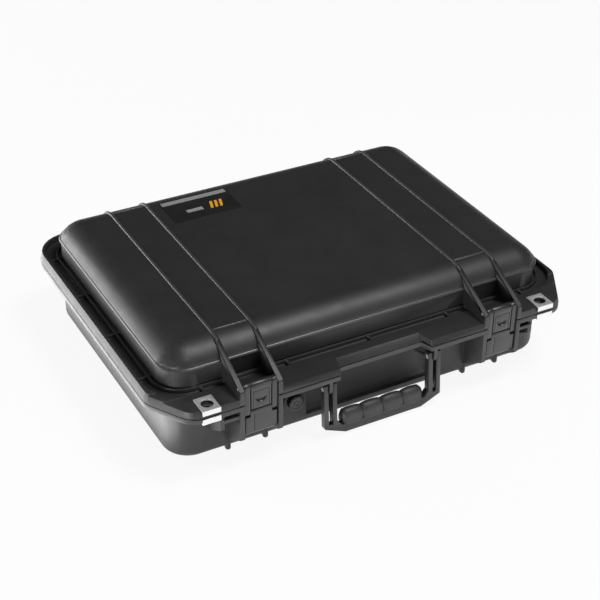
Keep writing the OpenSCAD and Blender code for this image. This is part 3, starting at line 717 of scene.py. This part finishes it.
def makeTieRidge(row, end, side):
    inner, outer = case["ribPlaces"]
    place = row["places"][end]
    top = domeTop(place)
    deselectAll()
    bpy.ops.mesh.primitive_cube_add(size=1)
    ridge = openNew("tieRidge." + end + sideName(side))
    size = (outer - inner - 2 * row["ribOverlap"], row["width"], row["height"] + row["sink"])
    bpy.ops.transform.resize(value=[length * mm for length in size])
    moveBy(side * (inner + outer) / 2, place, top + (row["height"] - row["sink"]) / 2)
    bpy.ops.object.mode_set(mode="OBJECT")
    roundEdges(ridge, row["round"], row["roundSteps"], lambda corner: corner.z > top)
    smoothByAngle(ridge, row["smooth"])
    # the ridge's lighter edge finish is a painted highlight
    finishPiece(ridge, "lid", finishes["edge"])


for end in tieRidge["places"]:
    for side in (-1, 1):
        makeTieRidge(tieRidge, end, side)
print("tie ridges made")

# print on the label: a silver strip, a pale bar and a group of slanted amber bars
labelPrint = {
    "top": 128.03,
    "thickness": 0.12,
    "sink": 0.02,
    "stripBox": (-109.0, 128.8, -27.5, 136.4),      # left, front, right and rear
    "paleBarBox": (-88.0, 103.0, -68.0, 109.5),
    "barStart": -60.0,
    "barPitch": 6.0,
    "barSize": (3.4, 15.0),
    "barFront": 101.0,
    "barSlant": 4.5,
    "bars": 3,
}


def printedPatch(name, box, row, ink, slant=0.0):
    x0, y0, x1, y1 = box
    deselectAll()
    bpy.ops.mesh.primitive_plane_add(size=1)
    patch = openNew(name)
    bpy.ops.transform.resize(value=((x1 - x0) * mm, (y1 - y0) * mm, 1))
    moveBy((x0 + x1) / 2, (y0 + y1) / 2, row["top"] - row["sink"])
    extrudeFaces(0, 0, row["thickness"] + row["sink"])
    faceOutward()
    for vertex in patch.data.vertices:
        if vertex.co.y > (y0 + y1) / 2 * mm:
            vertex.co.x += slant * mm
    finishPiece(patch, "lid", ink)


printedPatch("labelStrip", labelPrint["stripBox"], labelPrint, silverInk)
printedPatch("labelPaleBar", labelPrint["paleBarBox"], labelPrint, silverInk)
for index in range(labelPrint["bars"]):
    left = labelPrint["barStart"] + index * labelPrint["barPitch"]
    width, depth = labelPrint["barSize"]
    box = (left, labelPrint["barFront"], left + width, labelPrint["barFront"] + depth)
    printedPatch("labelBar." + str(index), box, labelPrint, amberInk, labelPrint["barSlant"])
print("label printed")

# soft grip: finger lobes drawn out along the crossbar, with a narrow seam between two of them
softGrip = {
    "length": 100.0,
    "lobes": 4,
    "stepsPerLobe": 8,
    "halfDepth": 8.2,
    "halfHeight": 11.2,
    "swell": 1.5,
    "fullness": 0.6,        # below 1 a lobe swells quickly from its seam
    "seamDepth": 0.9,
    "seamWidth": 1.4,
    "endRound": 3.0,
    "back": 2.2,
    "low": -43.6,
    "sides": 32,
    "pivot": (-187.0, 60.0),        # the handle's axis, along Y and Z
    "lean": 5.0,
    "smooth": 50,
}


# places along the grip, each with its swell
def gripWaves(row):
    pitch = row["length"] / row["lobes"]
    half = row["length"] / 2
    waves = []
    for lobe in range(row["lobes"]):
        for step in range(row["stepsPerLobe"] + 1):
            share = step / row["stepsPerLobe"]
            inLobe = row["seamWidth"] / 2 + share * (pitch - row["seamWidth"])
            swell = row["swell"] * (math.sin(math.pi * share) ** row["fullness"] - 1)
            waves.append((-half + lobe * pitch + inLobe, swell))
        if lobe < row["lobes"] - 1:
            waves.append((-half + (lobe + 1) * pitch, -row["swell"] - row["seamDepth"]))
    waves[0] = (-half, waves[0][1] - row["endRound"])
    waves[-1] = (half, waves[-1][1] - row["endRound"])
    return waves


def makeSoftGrip(row):
    stations = [(row["halfDepth"] + swell, row["halfHeight"] + swell, place)
                for place, swell in gripWaves(row)]
    grip = drawnOut("softGrip", row["sides"], stations)
    pivotY, pivotZ = row["pivot"]
    lay = Matrix(((0, 0, 1), (1, 0, 0), (0, 1, 0))).to_4x4()     # its length lies along X
    turn = Matrix.Rotation(math.radians(-row["lean"]), 4, "X")
    grip.data.transform(Matrix.Translation((0, pivotY * mm, pivotZ * mm)) @ turn
                        @ Matrix.Translation((0, row["back"] * mm, row["low"] * mm)) @ lay)
    smoothByAngle(grip, row["smooth"])
    finishPiece(grip, "handle", finishes["rubber"])
    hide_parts("handle_grip")


makeSoftGrip(softGrip)
print("grip made")

# raised rings in the face of the valve's knob
valveRings = {
    "centre": (-93.0, 39.5),        # along X and Z
    "face": -172.0,
    # rows of radius and height over the face
    "profile": [(7.6, -0.4), (7.6, 0.4), (7.3, 0.6), (6.2, 0.6), (5.9, 0.1),
                (3.7, 0.1), (3.4, 0.6), (2.3, 0.6), (2.0, 0.1)],
    "sides": 40,
    "smooth": 35,
}


def makeValveRings(row):
    stations = [(radius, radius, height) for radius, height in row["profile"]]
    rings = drawnOut("valveRings", row["sides"], stations)
    centreX, centreZ = row["centre"]
    forward = Matrix.Rotation(math.radians(90), 4, "X")     # the rings' height lies along -Y
    place = Matrix.Translation((centreX * mm, row["face"] * mm, centreZ * mm))
    rings.data.transform(place @ forward)
    smoothByAngle(rings, row["smooth"])
    finishPiece(rings, "valve", finishes["latch"])


makeValveRings(valveRings)
print("valve rings made")

# rounded ends of the foot ribs, under the front wall
footNub = {
    "radius": 3.1,
    "top": 12.0,
    "bottom": 0.2,
    "round": 1.6,
    "roundSteps": 4,
    "frontPlace": -160.6,
    "sides": 24,
    "smooth": 40,
}


def makeFootNub(row, x, side):
    middle = (row["top"] + row["bottom"]) / 2
    deselectAll()
    bpy.ops.mesh.primitive_cylinder_add(vertices=row["sides"], radius=row["radius"] * mm,
                                        depth=(row["top"] - row["bottom"]) * mm)
    nub = openNew("footNub." + ribName(x, side))
    moveBy(side * x, row["frontPlace"], middle)
    bpy.ops.object.mode_set(mode="OBJECT")
    roundEdges(nub, row["round"], row["roundSteps"], lambda corner: corner.z < middle)
    smoothByAngle(nub, row["smooth"])
    finishPiece(nub, "base", finishes["shell"])


for x, side in ribSides:
    makeFootNub(footNub, x, side)
print("foot nubs made")

# foam of the base: pad and tray with softened edges
baseFoam = {
    "foam_base_pad": {"newName": "basePadFoam", "edge": 1.5, "segments": 3},
    "foam_base_tray": {"newName": "baseTrayFoam", "edge": 2.0, "segments": 3},
}
for node, row in baseFoam.items():
    dressedNode(node, **row)
print("base foam made")

# egg-crate foam of the lid: a flat block with a waved layer under it, made as one closed piece
lidFoam = {
    "cutHeight": 104.0,
    "joinDepth": 1.0,
    "halfWidth": 216.0,
    "front": -139.0,
    "rear": 151.0,
    "pitch": 36.0,
    "peak": 83.4,
    "dip": 98.0,
    "stepsPerWave": 8,
    "smooth": 50,
}


def makeLidFoam(row):
    foam = copyOfNode("foam_lid_pad", "lidWaveFoam")
    bpy.ops.object.mode_set(mode="EDIT")
    bpy.ops.mesh.select_all(action="SELECT")
    bpy.ops.mesh.bisect(plane_co=(0, 0, row["cutHeight"] * mm), plane_no=(0, 0, 1),
                        use_fill=True, clear_inner=True)
    bpy.ops.object.mode_set(mode="OBJECT")
    width, depth = 2 * row["halfWidth"], row["rear"] - row["front"]
    wavesX, wavesY = round(width / row["pitch"]), round(depth / row["pitch"])
    deselectAll()
    bpy.ops.mesh.primitive_grid_add(x_subdivisions=wavesX * row["stepsPerWave"],
                                    y_subdivisions=wavesY * row["stepsPerWave"], size=1)
    waves = openNew("foamWaves")
    bpy.ops.transform.resize(value=(width * mm, depth * mm, 1))
    moveBy(0, (row["rear"] + row["front"]) / 2, row["peak"])
    extrudeFaces(0, 0, row["cutHeight"] + row["joinDepth"] - row["peak"])
    bpy.ops.object.mode_set(mode="OBJECT")
    for vertex in waves.data.vertices:
        place = vertex.co / mm
        if place.z < row["cutHeight"]:
            across = (place.x + row["halfWidth"]) / width * wavesX
            along = (place.y - row["front"]) / depth * wavesY
            share = 0.5 + 0.5 * math.cos(2 * math.pi * across) * math.cos(2 * math.pi * along)
            vertex.co.z = (row["peak"] + (row["dip"] - row["peak"]) * share) * mm
    selectOnly(waves)
    bpy.ops.object.mode_set(mode="EDIT")
    faceOutward()
    applyModifier(foam, "BOOLEAN", "joinWaves", operation="UNION", object=waves, solver="EXACT")
    bpy.data.objects.remove(waves, do_unlink=True)
    smoothByAngle(foam, row["smooth"])
    finishPiece(foam, "lid", finishes["foam"])
    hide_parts("foam_lid_pad")


makeLidFoam(lidFoam)
print("lid foam made")
